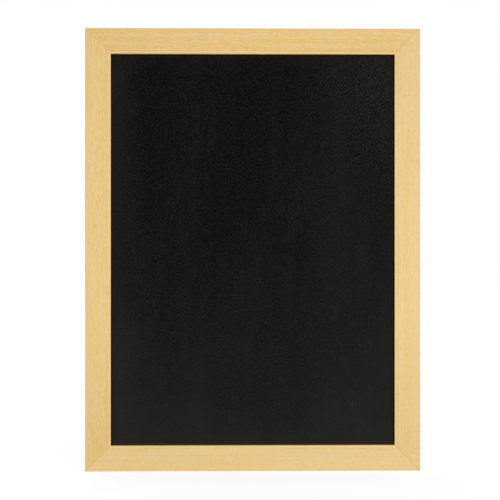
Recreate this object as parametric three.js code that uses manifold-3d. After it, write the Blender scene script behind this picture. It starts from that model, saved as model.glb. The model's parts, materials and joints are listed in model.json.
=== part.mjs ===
// A framed chalkboard for a wall: four mitred beech members round a black writing panel,
// with the V-nails in the mitres, the tabs that hold the panel in, and two ring hangers.
// Millimetres. X runs to the viewer's right, Z up, and the written side faces -Y.
// The origin is the middle of the board, on the plane of the frame's back.

import * as THREE from "three";
import { mergeVertices } from "three/addons/utils/BufferGeometryUtils.js";
import Module from "manifold-3d";

// Board
const boardWidth = 303;
const boardHeight = 400;

// Frame moulding, seen in section
const frameDepth = 15;
const faceWidth = 23;
const rebateWidth = 6;
const lipThickness = 5;
const sightBevelWidth = 1.2;
const sightBevelDepth = 0.5;
const frontArris = 0.8;
const backArris = 0.4;
const glueLine = 0.1;

// Writing panel
const panelThickness = 3;
const panelEdgeGap = 1;

// V-nails across the mitres
const nailsPerCorner = 2;
const nailSheet = 0.4;
const nailLeg = 3.6;
const nailBend = 0.5;
const nailFlare = 0.9;
const nailTipCover = 6;
const nailSlotGap = 0.2;

// Retaining tabs round the panel
const tabsPerStile = 3;
const tabsPerRail = 2;
const tabSheet = 0.45;
const tabWidth = 6;
const tabInWood = 6.5;
const tabOverPanel = 8.5;
const tabPoint = 2.4;
const tabTipWidth = 3;
const tabCorner = 1;
const tabLift = 0.1;
const tabSlotGap = 0.2;

// Ring hangers
const hangerDrop = 80;
const strapWidth = 9.5;
const strapSheet = 0.7;
const strapFoldGap = 0.1;
const strapNeck = 1.2;
const ringWire = 1.8;
const ringInEyeGap = 0.3;
const ringSideGap = 1;
const ringCorner = 0.8;
const ringSideRun = 1.7;
const ringButtGap = 0.6;
const ringRestGap = 0.3;

// Hanger screws
const screwDrop = 15.5;
const screwShank = 2.6;
const screwHead = 6;
const screwHeadHeight = 2.1;
const screwHeadRim = 0.9;
const screwTip = 3;
const screwTipCover = 5.5;
const screwHoleGap = 0.4;
const pilotGap = 0.2;
const recessSpan = 3.4;
const recessFloorSpan = 1.7;
const recessWidth = 0.8;
const recessDepth = 1.3;

// Smoothness of round forms
const arcSteps = 6;
const wireSides = 10;
const ringSteps = 72;
const screwSides = 28;

// Finishes
const beechColour = 0xe6c489;
const panelColour = 0x191a19;
const zincColour = 0xb9bcbd;
const nickelColour = 0xc9c6bf;

// Sizes that follow from the ones above
const backLand = faceWidth - rebateWidth;
const panelFront = lipThickness - frameDepth;
const panelBack = panelFront + panelThickness;
const nailDepth = frameDepth - nailTipCover;
const nailReach = nailLeg + nailBend + nailFlare * Math.SQRT1_2;
const strapStack = 2 * strapSheet + strapFoldGap;
const eyeRadius = ringWire / 2 + ringInEyeGap;
const eyeHeight = eyeRadius + strapSheet;
const ringHalfWidth = (strapWidth + ringWire) / 2 + ringSideGap;
const ringBend = ringCorner + ringWire / 2;
const ringReach = ringBend + ringSideRun + ringHalfWidth;
const ringLean = Math.asin((eyeHeight - ringWire / 2 - ringRestGap) / ringReach);

// Solid operations
const wasm = await Module();
wasm.setup();
const mergeDistance = 1e-4;

function solidOf(geometry) {
  const bare = geometry.clone();
  bare.deleteAttribute("normal");
  bare.deleteAttribute("uv");
  const merged = mergeVertices(bare, mergeDistance);
  const triVerts = new Uint32Array(merged.index.array);
  const vertProperties = merged.attributes.position.array;
  return new wasm.Manifold(new wasm.Mesh({ numProp: 3, vertProperties, triVerts }));
}

function geometryOf(solid) {
  const { vertProperties, triVerts } = solid.getMesh();
  const indexed = new THREE.BufferGeometry();
  indexed.setAttribute("position", new THREE.BufferAttribute(vertProperties, 3));
  indexed.setIndex(new THREE.BufferAttribute(triVerts, 1));
  const faceted = indexed.toNonIndexed();
  faceted.computeVertexNormals();
  return faceted;
}

function cut(geometry, cutters) {
  const start = solidOf(geometry);
  return geometryOf(cutters.reduce((left, cutter) => left.subtract(solidOf(cutter)), start));
}

// Flat outlines and how they stand in the board's frame
const alongX = new THREE.Vector3(1, 0, 0);
const alongY = new THREE.Vector3(0, 1, 0);
const alongZ = new THREE.Vector3(0, 0, 1);

// Extrudes an outline and turns it so that its two axes run along the given directions.
function prism(outline, depth, across, up) {
  const geometry = new THREE.ExtrudeGeometry(outline, {
    depth,
    bevelEnabled: false,
    curveSegments: arcSteps,
  });
  const through = across.clone().cross(up);
  return geometry.applyMatrix4(new THREE.Matrix4().makeBasis(across, up, through));
}

// A plate lies parallel to the board, from the plane y = 0 forward by its depth.
function plate(outline, depth) {
  return prism(outline, depth, alongX, alongZ);
}

// The outline of a bent strip: the line it follows, offset to both sides by half its thickness.
function stripOutline(line, thickness) {
  const drawn = line.getPoints(arcSteps);
  const points = drawn.filter((point, i) => i === 0 || point.distanceTo(drawn[i - 1]) > mergeDistance);
  const headings = points.slice(1).map((point, i) => point.clone().sub(points[i]).normalize());
  const offset = (side) =>
    points.map((point, i) => {
      const before = headings[Math.max(i - 1, 0)];
      const after = headings[Math.min(i, headings.length - 1)];
      const along = before.clone().add(after).normalize();
      const spread = (side * thickness) / 2 / along.dot(after);
      return new THREE.Vector2(point.x - along.y * spread, point.y + along.x * spread);
    });
  return new THREE.Shape([...offset(-1), ...offset(1).reverse()]);
}

function rectangle(width, height) {
  const outline = new THREE.Shape();
  outline.moveTo(-width / 2, -height / 2);
  outline.lineTo(width / 2, -height / 2);
  outline.lineTo(width / 2, height / 2);
  outline.lineTo(-width / 2, height / 2);
  outline.closePath();
  return outline;
}

// Pieces and their finishes
const board = new THREE.Group();

const beech = () =>
  new THREE.MeshStandardMaterial({ color: beechColour, roughness: 0.5, metalness: 0 });
const chalkCoat = () =>
  new THREE.MeshStandardMaterial({ color: panelColour, roughness: 0.6, metalness: 0 });
const zincPlate = () =>
  new THREE.MeshStandardMaterial({ color: zincColour, roughness: 0.35, metalness: 1 });
const nickelPlate = () =>
  new THREE.MeshStandardMaterial({ color: nickelColour, roughness: 0.25, metalness: 1 });

function addPiece(parent, name, geometry, material) {
  const piece = new THREE.Mesh(geometry, material);
  piece.name = name;
  parent.add(piece);
  return piece;
}

// Frame members.
// Each side of the frame has a frame of its own: X runs in from the outer edge, Y is the
// board's, and Z runs along the member from its first mitre, whose V-nails belong to it.

// The moulding in section: a square back land, and a thin lip over the rebate.
function mouldingOutline() {
  const outline = new THREE.Shape();
  outline.moveTo(backArris, 0);
  outline.lineTo(0, -backArris);
  outline.lineTo(0, frontArris - frameDepth);
  outline.absarc(frontArris, frontArris - frameDepth, frontArris, Math.PI, 1.5 * Math.PI);
  outline.lineTo(faceWidth - sightBevelWidth, -frameDepth);
  outline.lineTo(faceWidth, sightBevelDepth - frameDepth);
  outline.lineTo(faceWidth, panelFront);
  outline.lineTo(backLand, panelFront);
  outline.lineTo(backLand, 0);
  outline.closePath();
  return outline;
}

// Both ends are drawn back by their distance from the outer edge, which makes the mitres.
function mitredLength(length) {
  const geometry = new THREE.ExtrudeGeometry(mouldingOutline(), {
    depth: length,
    bevelEnabled: false,
    curveSegments: arcSteps,
  });
  const position = geometry.attributes.position;
  const glueShare = glueLine * Math.SQRT1_2;
  for (let i = 0; i < position.count; i += 1) {
    const drawnBack = position.getX(i) + glueShare;
    const atFarEnd = position.getZ(i) > length / 2;
    position.setZ(i, atFarEnd ? length - drawnBack : drawnBack);
  }
  return geometry;
}

// A V-nail in plan: two legs at a right angle with a rounded back, each flared out at its tip.
// The back of the V points at the inside corner, and each leg runs out across its own member.
function nailLine(spare) {
  const line = new THREE.Path();
  const legEnd = nailBend + nailLeg;
  const flare = (nailFlare + spare) * Math.SQRT1_2;
  line.moveTo(-legEnd - flare, flare);
  line.lineTo(-legEnd, 0);
  line.lineTo(-nailBend, 0);
  line.absarc(-nailBend, -nailBend, nailBend, Math.PI / 2, 0, true);
  line.lineTo(0, -legEnd);
  line.lineTo(flare, -legEnd - flare);
  return line;
}

// The nails share the land evenly: this is how far the back of each V is from the outer edges.
function nailPlaces() {
  const space = (backLand - nailsPerCorner * nailReach) / (nailsPerCorner + 1);
  return Array.from({ length: nailsPerCorner }, (_, i) => (i + 1) * (space + nailReach));
}

function nail() {
  return plate(stripOutline(nailLine(0), nailSheet), nailDepth);
}

function nailSlot() {
  const deep = nailDepth + nailSlotGap;
  const outline = stripOutline(nailLine(nailSlotGap), nailSheet + 2 * nailSlotGap);
  return plate(outline, 2 * deep).translate(0, deep, 0);
}

// The tabs share a member's rebate evenly: this is where each one's middle is along it.
function tabPlaces(length, count) {
  const rebateLength = length - 2 * backLand;
  return Array.from(
    { length: count },
    (_, i) => backLand + (rebateLength * (i + 0.5)) / count,
  );
}

// A tab in plan: a blunt point that is driven into the wood, and two rounded free corners.
function tabOutline(spare) {
  const half = tabWidth / 2 + spare;
  const tipHalf = tabTipWidth / 2 + spare;
  const tip = -tabInWood - spare;
  const end = tabOverPanel;
  const outline = new THREE.Shape();
  outline.moveTo(tip, tipHalf);
  outline.lineTo(tip, -tipHalf);
  outline.lineTo(tip + tabPoint, -half);
  outline.lineTo(end - tabCorner, -half);
  outline.absarc(end - tabCorner, tabCorner - half, tabCorner, -Math.PI / 2, 0);
  outline.lineTo(end, half - tabCorner);
  outline.absarc(end - tabCorner, half - tabCorner, tabCorner, 0, Math.PI / 2);
  outline.lineTo(tip + tabPoint, half);
  outline.closePath();
  return outline;
}

const tabBack = panelBack + tabLift + tabSheet;

function tab() {
  return plate(tabOutline(0), tabSheet).translate(backLand, tabBack, 0);
}

function tabSlot() {
  const slot = plate(tabOutline(tabSlotGap), tabSheet + 2 * tabSlotGap);
  return slot.translate(backLand, tabBack + tabSlotGap, 0);
}

function pilotHole() {
  const reach = frameDepth - screwTipCover + pilotGap;
  const radius = screwShank / 2 + pilotGap;
  const bore = new THREE.CylinderGeometry(radius, radius, 2 * reach, screwSides);
  return bore.translate(backLand / 2, 0, 0);
}

function member(length, tabCount, screwPlaces) {
  const cutters = [];
  for (const place of nailPlaces()) {
    cutters.push(nailSlot().translate(place, 0, place));
    cutters.push(nailSlot().rotateY(Math.PI / 2).translate(place, 0, length - place));
  }
  for (const place of tabPlaces(length, tabCount)) {
    cutters.push(tabSlot().translate(0, 0, place));
  }
  for (const place of screwPlaces) {
    cutters.push(pilotHole().translate(0, 0, place));
  }
  return cut(mitredLength(length), cutters);
}

const screwFromTop = hangerDrop + screwDrop;
const sides = [
  {
    name: "left_stile",
    corner: "bottom_left",
    edge: "left",
    length: boardHeight,
    tabCount: tabsPerStile,
    screwPlaces: [boardHeight - screwFromTop],
    start: [-boardWidth / 2, -boardHeight / 2],
    quarterTurns: 0,
  },
  {
    name: "top_rail",
    corner: "top_left",
    edge: "top",
    length: boardWidth,
    tabCount: tabsPerRail,
    screwPlaces: [],
    start: [-boardWidth / 2, boardHeight / 2],
    quarterTurns: 1,
  },
  {
    name: "right_stile",
    corner: "top_right",
    edge: "right",
    length: boardHeight,
    tabCount: tabsPerStile,
    screwPlaces: [screwFromTop],
    start: [boardWidth / 2, boardHeight / 2],
    quarterTurns: 2,
  },
  {
    name: "bottom_rail",
    corner: "bottom_right",
    edge: "bottom",
    length: boardWidth,
    tabCount: tabsPerRail,
    screwPlaces: [],
    start: [boardWidth / 2, -boardHeight / 2],
    quarterTurns: 3,
  },
];

for (const side of sides) {
  const place = new THREE.Group();
  place.position.set(side.start[0], 0, side.start[1]);
  place.rotation.y = (side.quarterTurns * Math.PI) / 2;
  board.add(place);
  addPiece(place, side.name, member(side.length, side.tabCount, side.screwPlaces), beech());
  nailPlaces().forEach((inset, i) => {
    const name = `v_nail_${side.corner}_${i + 1}`;
    addPiece(place, name, nail(), zincPlate()).position.set(inset, 0, inset);
  });
  tabPlaces(side.length, side.tabCount).forEach((along, i) => {
    addPiece(place, `panel_tab_${side.edge}_${i + 1}`, tab(), zincPlate()).position.z = along;
  });
}

// Writing panel: a sheet laid in the rebate, against the back of the lip.
const panelWidth = boardWidth - 2 * (backLand + panelEdgeGap);
const panelHeight = boardHeight - 2 * (backLand + panelEdgeGap);
const panel = plate(rectangle(panelWidth, panelHeight), panelThickness);
addPiece(board, "writing_panel", panel, chalkCoat()).position.y = panelBack;

// Ring hangers.
// A hanger's frame has its origin on the wood, level with the eye that holds the ring.

// The strap in section, one strip folded double: up the wood, round the eye, back through a
// hollow neck and down over itself. X is the distance from the wood and Y is the height.
function strapLine() {
  const wrap = eyeRadius + strapSheet / 2;
  const neck = strapNeck + strapSheet / 2;
  const outerLayer = strapStack - strapSheet / 2;
  const neckAcross = outerLayer + neck;
  const neckDown = Math.sqrt((wrap + neck) ** 2 - (neckAcross - eyeHeight) ** 2);
  const meeting = Math.atan2(-neckDown, neckAcross - eyeHeight);
  const end = -screwDrop - strapWidth / 2;
  const line = new THREE.Path();
  line.moveTo(strapSheet / 2, end);
  line.lineTo(strapSheet / 2, 0);
  line.absarc(eyeHeight, 0, wrap, Math.PI, meeting, true);
  line.absarc(neckAcross, -neckDown, neck, meeting + Math.PI, Math.PI, false);
  line.lineTo(outerLayer, end);
  return line;
}

// The strap seen from behind: straight sides, and a half-round end about the screw.
function strapPlan() {
  const half = strapWidth / 2;
  const top = eyeRadius + 2 * strapSheet;
  const plan = new THREE.Shape();
  plan.moveTo(half, top);
  plan.lineTo(-half, top);
  plan.lineTo(-half, -screwDrop);
  plan.absarc(0, -screwDrop, half, Math.PI, 2 * Math.PI);
  plan.closePath();
  const hole = new THREE.Path();
  const holeRadius = screwShank / 2 + screwHoleGap;
  hole.absarc(0, -screwDrop, holeRadius, 0, 2 * Math.PI);
  plan.holes.push(hole);
  return plan;
}

function strap() {
  const folded = prism(stripOutline(strapLine(), strapSheet), strapWidth, alongY, alongZ);
  folded.translate(-strapWidth / 2, 0, 0);
  const eyeTop = 2 * eyeHeight;
  const trimmed = plate(strapPlan(), 3 * eyeTop).translate(0, 2 * eyeTop, 0);
  return geometryOf(solidOf(folded).intersect(solidOf(trimmed)));
}

// The line of the ring's wire, in a plane of its own: X across and Z from the eye to the bow.
class RingLine extends THREE.Curve {
  constructor() {
    super();
    const half = ringHalfWidth;
    const bowHeight = ringBend + ringSideRun;
    const line = new THREE.Path();
    line.moveTo(ringButtGap / 2, 0);
    line.lineTo(half - ringBend, 0);
    line.absarc(half - ringBend, ringBend, ringBend, -Math.PI / 2, 0);
    line.lineTo(half, bowHeight);
    line.absarc(0, bowHeight, half, 0, Math.PI);
    line.lineTo(-half, ringBend);
    line.absarc(ringBend - half, ringBend, ringBend, Math.PI, 1.5 * Math.PI);
    line.lineTo(-ringButtGap / 2, 0);
    this.line = line;
  }

  getPoint(t, target = new THREE.Vector3()) {
    const point = this.line.getPoint(t);
    return target.set(point.x, 0, point.y);
  }
}

function ring() {
  const section = new THREE.Shape();
  section.absarc(0, 0, ringWire / 2, 0, 2 * Math.PI);
  return new THREE.ExtrudeGeometry(section, {
    steps: ringSteps,
    curveSegments: wireSides / 2,
    extrudePath: new RingLine(),
  });
}

// The screw about the Y axis, with the underside of its head at y = 0: a pointed shank
// and a pan head, flat under, upright at the rim and crowned above.
function screw() {
  const shank = screwShank / 2;
  const head = screwHead / 2;
  const reach = frameDepth - screwTipCover + strapStack;
  const profile = [
    new THREE.Vector2(0, -reach),
    new THREE.Vector2(shank, screwTip - reach),
    new THREE.Vector2(shank, 0),
    new THREE.Vector2(head, 0),
  ];
  for (let i = 0; i <= arcSteps; i += 1) {
    const angle = (i / arcSteps) * (Math.PI / 2);
    const height = screwHeadRim + (screwHeadHeight - screwHeadRim) * Math.sin(angle);
    profile.push(new THREE.Vector2(i === arcSteps ? 0 : head * Math.cos(angle), height));
  }
  const turned = new THREE.LatheGeometry(profile, screwSides);
  return cut(turned, [recessWing(alongX), recessWing(alongZ)]);
}

// One wing of the cross recess: a slot that narrows towards its floor.
function recessWing(across) {
  const half = recessSpan / 2;
  const floorHalf = recessFloorSpan / 2;
  const floor = screwHeadHeight - recessDepth;
  const above = screwHeadHeight + recessDepth;
  const wing = new THREE.Shape();
  wing.moveTo(-floorHalf, floor);
  wing.lineTo(floorHalf, floor);
  wing.lineTo(half, screwHeadHeight);
  wing.lineTo(half, above);
  wing.lineTo(-half, above);
  wing.lineTo(-half, screwHeadHeight);
  wing.closePath();
  const through = across.clone().cross(alongY).multiplyScalar(-recessWidth / 2);
  return prism(wing, recessWidth, across, alongY).translate(through.x, through.y, through.z);
}

const strapFromMiddle = (boardWidth - backLand) / 2;
for (const [hand, direction] of [["left", -1], ["right", 1]]) {
  const hanger = new THREE.Group();
  hanger.position.set(direction * strapFromMiddle, 0, boardHeight / 2 - hangerDrop);
  board.add(hanger);
  addPiece(hanger, `${hand}_hanger_strap`, strap(), zincPlate());
  const dRing = addPiece(hanger, `${hand}_d_ring`, ring(), nickelPlate());
  dRing.position.y = eyeHeight;
  dRing.rotation.x = ringLean;
  const fixing = addPiece(hanger, `${hand}_hanger_screw`, screw(), zincPlate());
  fixing.position.set(0, strapStack, -screwDrop);
}

export default board;
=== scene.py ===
"""A framed wall chalkboard: the finished surfaces of its pieces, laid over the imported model.

Metres. X runs to the viewer's right, Z up, the written side faces -Y and the wall side +Y.
Sizes are given in millimetres where a name ends in _mm, and places come from the frame.
"""

import json
import math

import bpy
import numpy as np
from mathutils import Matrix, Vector


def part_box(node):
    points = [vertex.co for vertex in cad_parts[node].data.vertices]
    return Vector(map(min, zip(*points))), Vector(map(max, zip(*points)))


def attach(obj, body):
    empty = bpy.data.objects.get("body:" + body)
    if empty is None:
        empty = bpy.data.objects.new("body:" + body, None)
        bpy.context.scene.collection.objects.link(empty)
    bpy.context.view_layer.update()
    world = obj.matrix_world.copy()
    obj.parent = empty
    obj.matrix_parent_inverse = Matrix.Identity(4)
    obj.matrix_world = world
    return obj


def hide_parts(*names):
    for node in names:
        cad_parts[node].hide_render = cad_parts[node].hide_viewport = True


bl_info = {
    "name": "Framed chalkboard",
    "version": (1, 0, 0),
    "blender": (4, 5, 0),
    "location": "View3D > Sidebar > Chalkboard",
    "description": "Builds the finished pieces of a framed wall chalkboard round its packed model",
    "category": "Object",
}

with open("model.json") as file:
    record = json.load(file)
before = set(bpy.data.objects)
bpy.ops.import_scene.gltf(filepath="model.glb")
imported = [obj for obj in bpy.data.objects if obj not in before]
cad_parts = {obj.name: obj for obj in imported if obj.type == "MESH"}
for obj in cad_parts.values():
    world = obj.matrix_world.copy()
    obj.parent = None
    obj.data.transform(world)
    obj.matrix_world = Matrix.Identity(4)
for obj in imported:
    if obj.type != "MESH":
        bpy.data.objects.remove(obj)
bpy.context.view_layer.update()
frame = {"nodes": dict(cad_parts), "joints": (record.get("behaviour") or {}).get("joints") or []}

MM = 0.001
# Edges that turn by more than this many degrees are drawn sharp
SHARP_ANGLE = 32
# How far the skins of slits and holes stand out of the piece that they are cut from
PAST_FACE = 0.5 * MM
ACROSS = np.array([1.0, 0.0, 0.0])
DEEP = np.array([0.0, 1.0, 0.0])
UP = np.array([0.0, 0.0, 1.0])

# Places that the frame gives
stile_low, stile_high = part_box("left_stile")
rail_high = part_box("top_rail")[1]
panel_low, panel_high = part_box("writing_panel")
ring_low, ring_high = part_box("left_d_ring")
strap_low, strap_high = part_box("left_hanger_strap")
screw_low, screw_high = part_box("left_hanger_screw")
tab_low, tab_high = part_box("panel_tab_left_1")
nail_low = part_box("v_nail_bottom_left_1")[0]

HALF_WIDTH = -stile_low.x
HALF_HEIGHT = rail_high.z
FRAME_DEPTH = -stile_low.y
FACE_WIDTH = stile_high.x - stile_low.x
PANEL_FRONT = panel_low.y
EYE = Vector(frame["joints"][0]["pos_m"])

# Sides of the frame, each from its first corner on. Each was sawn from another stick, so each has
# its own figure: how far the grain wanders, how strong its stripes and its flecks are, and by how
# many degrees the flecks run out across it. The tone is its lightness and its saturation.
SIDES = {
    "left": {
        "node": "left_stile", "corner": (-1, -1), "inward": ACROSS, "along": UP,
        "figure": {"wander": 0.2, "stripes": 0.3, "flecks": 0.65, "run_out": 1},
        "tone": (0.978, 1.02)},
    "top": {
        "node": "top_rail", "corner": (-1, 1), "inward": -UP, "along": ACROSS,
        "figure": {"wander": 0.9, "stripes": 0.95, "flecks": 0.92, "run_out": -5},
        "tone": (0.994, 0.99)},
    "right": {
        "node": "right_stile", "corner": (1, 1), "inward": -ACROSS, "along": -UP,
        "figure": {"wander": 0.2, "stripes": 0.5, "flecks": 0.7, "run_out": 2},
        "tone": (1.05, 0.96)},
    # The bottom rail's lightness is raised a little as painted light, making up for the shade near
    # the floor, beside its own tone
    "bottom": {
        "node": "bottom_rail", "corner": (1, -1), "inward": UP, "along": -ACROSS,
        "figure": {"wander": 0.35, "stripes": 0.3, "flecks": 0.5, "run_out": -14},
        "tone": (1.005, 0.995)},
}
# Cuts of wood: lightness and saturation against the lacquered face, and roughness. The bevel's paler
# tone is a painted highlight along the sight edge, and the inner wall's lighter, more saturated tone
# is painted light on a wall in shade
CUTS = {
    "lacquered_beech": (1.0, 1.0, 0.42),
    "planed_beech": (0.97, 0.95, 0.64),
    "sanded_beech": (1.13, 1.02, 0.36),
    # Inner wall of the lip, lighter and more saturated: painted light on a wall that lies in shade
    "routed_beech": (1.07, 1.2, 0.5),
}
# Marks of beech: cells in millimetres across, into and along the stick, octaves of their noise,
# and the levels at which a mark begins and is full
GRAIN = {
    "stripes": ((7, 9, 110), 2, (0.34, 0.66)),
    "lines": ((0.48, 1.2, 70), 2, (0.38, 0.62)),
    "rays": ((0.36, 0.9, 5.0), 1, (0.55, 0.67)),
    "short_rays": ((0.36, 0.8, 3.2), 1, (0.55, 0.67)),
    "pores": ((0.17, 0.2, 1.3), 1, (0.66, 0.76)),
}
# How far apart in the tree, in metres along its axes, each stick was cut from the one before
NEXT_STICK = (0.31, 0.17, 0.53)
# Plated steels: colour, roughness, and cells of the patches and of the scratches in millimetres
PLATED = {
    "bright_spring_strip": ("spring_steel", 0.3, 3, (0.1, 0.1, 2)),
    "zinc_plated_strip": ("zinc", 0.3, 5, (0.12, 0.12, 3)),
    "zinc_plated_screw": ("zinc", 0.26, 2, 0.6),
    "nickel_plated_wire": ("nickel", 0.17, 4, (1.5, 0.15, 0.15)),
}
# Size of the zinc crystals on galvanised sheet
CRYSTAL = 1.3 * MM
# Half sizes in millimetres of the painted glint round the panel's top right corner
GLINT_REACH_MM = (95, 95, 170)
# A round wipe, which thins the dust and the painted sheen, and two chalk marks: centre, half sizes in
# millimetres, and strength
WIPE_CENTRE = (0.019, PANEL_FRONT, -0.057)
WIPE_REACH_MM = 110
CHALK_MARKS = (
    ((0.09, PANEL_FRONT, -0.1403), (0.85, 3, 1.6), 0.75),
    ((0.0905, PANEL_FRONT, -0.1382), (0.65, 3, 1.1), 0.45),
)
# Radians that a wave texture turns through in each unit of its scale
WAVE_TURN = 20
# Lamps: place, width and height in metres, and the setting that holds the power
LAMPS = {
    "key_lamp": ((1.1, -3.3, 1.0), 2.4, 2.0, "key_power"),
    "back_lamp": ((-1.1, 3.3, 1.0), 2.4, 2.0, "key_power"),
    "low_lamp": ((0, -0.6, 0.05 - HALF_HEIGHT), 1.0, 0.1, "low_power"),
}
# From the middle of the floor to its sides, in metres
FLOOR_REACH = 6.0
# Signs of both coordinates at a rectangle's corners, anticlockwise
CORNER_SIGNS = ((-1, -1), (1, -1), (1, 1), (-1, 1))
# Corners of the frame, each with the side that begins there, and hands with their signs of x
CORNERS = {"bottom_left": "left", "top_left": "top", "top_right": "right", "bottom_right": "bottom"}
HANDS = {"left": -1, "right": 1}


# Outlines and lines

def arc(centre, radius, start, end, steps):
    """Points on a circle: centre plus radius times cosine and sine, for even angles in degrees."""
    angle = np.radians(np.linspace(start, end, steps + 1))
    return np.array(centre) + radius * np.stack([np.cos(angle), np.sin(angle)], axis=1)


def fillet(corner, before, after, radius, steps):
    """The arc that touches both edges of a corner. Its centre lies on the corner's bisector, at
    the radius over the sine of half the corner's angle, and it sweeps a half turn less the angle.
    """
    to_before = (before - corner) / np.linalg.norm(before - corner)
    to_after = (after - corner) / np.linalg.norm(after - corner)
    half_angle = math.acos(np.clip(to_before @ to_after, -1, 1)) / 2
    bisector = (to_before + to_after) / np.linalg.norm(to_before + to_after)
    centre = corner + bisector * radius / math.sin(half_angle)
    first = corner + to_before * radius / math.tan(half_angle) - centre
    side = to_after[0] * to_before[1] - to_after[1] * to_before[0]
    turn = math.copysign(math.pi - 2 * half_angle, side)
    angle = math.atan2(first[1], first[0]) + np.linspace(0, turn, steps + 1)
    return centre + radius * np.stack([np.cos(angle), np.sin(angle)], axis=1)


def rounded(corners, radii, closed=True, steps=6):
    """A polygon or open line whose corners are replaced by arcs. A radius of 0 leaves a corner."""
    corners = np.array(corners, float)
    radii = np.broadcast_to(radii, len(corners))
    points = []
    for place, (corner, radius) in enumerate(zip(corners, radii)):
        is_end = not closed and place in (0, len(corners) - 1)
        if radius == 0 or is_end:
            points.append(corner[None])
            continue
        after = corners[(place + 1) % len(corners)]
        points.append(fillet(corner, corners[place - 1], after, radius, steps))
    return np.concatenate(points)


def inset(outline, distance):
    """A closed outline drawn in by a distance: each point moves along the mean of its two edges'
    left normals, divided by the cosine of half their turn. The outline runs anticlockwise.
    """
    edge = np.roll(outline, -1, axis=0) - outline
    edge /= np.linalg.norm(edge, axis=1, keepdims=True)
    normal = np.stack([-edge[:, 1], edge[:, 0]], axis=1)
    mean = normal + np.roll(normal, 1, axis=0)
    mean /= np.linalg.norm(mean, axis=1, keepdims=True)
    spread = np.sum(mean * normal, axis=1, keepdims=True)
    return outline + distance * mean / spread


def headings(line):
    """The unit direction of a line at each point: from the point before to the point after."""
    step = np.gradient(line, axis=0)
    return step / np.linalg.norm(step, axis=1, keepdims=True)


# Skins

def skin(grid):
    """A closed skin on a grid of rings: four-sided faces between each ring and the next, the
    last point of a ring joined to its first, and one face over each end. Its faces are turned
    outwards if the volume under them, a sixth of the sum of a . (b x c), comes out negative.
    """
    rings, around = grid.shape[:2]
    index = np.arange(rings * around).reshape(rings, around)
    beside = np.roll(index, -1, axis=1)
    walls = np.stack([index[:-1], beside[:-1], beside[1:], index[1:]], axis=-1).reshape(-1, 4)
    faces = [*walls.tolist(), index[0, ::-1].tolist(), index[-1].tolist()]
    points = grid.reshape(-1, 3)
    middle = points.mean(axis=0)
    volume = 0.0
    for face in (walls, index[:1, ::-1], index[-1:]):
        corner = points[face] - middle
        fan = np.cross(corner[:, 1:-1], corner[:, 2:])
        volume += np.einsum("ij,ikj->", corner[:, 0], fan)
    if volume < 0:
        faces = [face[::-1] for face in faces]
    return points, faces


def swept(line, section, sideways, upward):
    """A section carried along a line: point j of ring i is line[i] + a[j] sideways + b[j] upward.
    The section may be one outline, or one for each point of the line.
    """
    section = np.broadcast_to(section, (len(line), *section.shape[-2:]))
    sideways = np.broadcast_to(sideways, (len(line), 3))
    upward = np.broadcast_to(upward, (len(line), 3))
    across = section[..., :1] * sideways[:, None]
    raised = section[..., 1:] * upward[:, None]
    return skin(line[:, None] + across + raised)


def in_plane(points, origin, first, second):
    """Flat points set into space: origin plus a first direction and b second direction."""
    return np.array(origin) + points[:, :1] * first + points[:, 1:] * second


def put(name, data):
    """Puts a mesh, a lamp or a camera into the scene, as an object of that name."""
    made = bpy.data.objects.new(name, data)
    bpy.context.scene.collection.objects.link(made)
    return made


def new_object(name, skins):
    """One mesh object that holds one or more skins."""
    points = np.concatenate([part[0] for part in skins])
    starts = np.cumsum([0] + [len(part[0]) for part in skins[:-1]]).tolist()
    faces = [[start + i for i in face] for start, part in zip(starts, skins) for face in part[1]]
    mesh = bpy.data.meshes.new(name)
    mesh.from_pydata(points.tolist(), [], faces)
    return put(name, mesh)


def make_piece(name, form, materials, body, node):
    """A finished piece that rides on a body and stands for a node of the model."""
    piece = new_object(name, [form])
    for material in materials:
        piece.data.materials.append(material)
    shade(piece.data)
    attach(piece, body)
    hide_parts(node)
    return piece


def shade(mesh):
    """Smooth shading, broken at edges that turn by more than the sharp angle."""
    mesh.polygons.foreach_set("use_smooth", np.ones(len(mesh.polygons), bool))
    mesh.set_sharp_from_angle(angle=math.radians(SHARP_ANGLE))
    mesh.update()


def carve(piece, cutters):
    """Cuts closed skins out of a piece, all in one exact subtraction, and removes the cutters."""
    tool = new_object("cutters", cutters)
    modifier = piece.modifiers.new("carve", "BOOLEAN")
    modifier.operation = "DIFFERENCE"
    modifier.solver = "EXACT"
    modifier.object = tool
    bpy.context.view_layer.update()
    graph = bpy.context.evaluated_depsgraph_get()
    carved = bpy.data.meshes.new_from_object(piece.evaluated_get(graph))
    piece.modifiers.clear()
    uncut, solid_tool = piece.data, tool.data
    piece.data = carved
    bpy.data.objects.remove(tool)
    bpy.data.meshes.remove(solid_tool)
    bpy.data.meshes.remove(uncut)
    carved.name = piece.name
    shade(carved)


# Sizes and finishes that a user would change

def linear(code):
    """Linear RGBA of an sRGB hex value: a channel c is c / 12.92 up to 0.04045, and above that
    ((c + 0.055) / 1.055) to the power 2.4.
    """
    channels = np.array([int(code[i:i + 2], 16) for i in (0, 2, 4)]) / 255
    bent = np.where(channels <= 0.04045, channels / 12.92, ((channels + 0.055) / 1.055) ** 2.4)
    return (*bent.tolist(), 1.0)


def size_mm(name, description, value, least=0):
    """A length that the sidebar shows, given here in millimetres."""
    return bpy.props.FloatProperty(
        name=name, description=description, default=value * MM, min=least * MM, unit="LENGTH",
        precision=5)


def light(name, description, value, unit):
    """A lamp's power or a level of light that the sidebar shows."""
    return bpy.props.FloatProperty(
        name=name, description=description, default=value, min=0, unit=unit)


def colour(name, description, code):
    """A colour that the sidebar shows, given here as an sRGB hex value."""
    return bpy.props.FloatVectorProperty(
        name=name, description=description, default=linear(code), size=4, min=0, max=1,
        subtype="COLOR")


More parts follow.
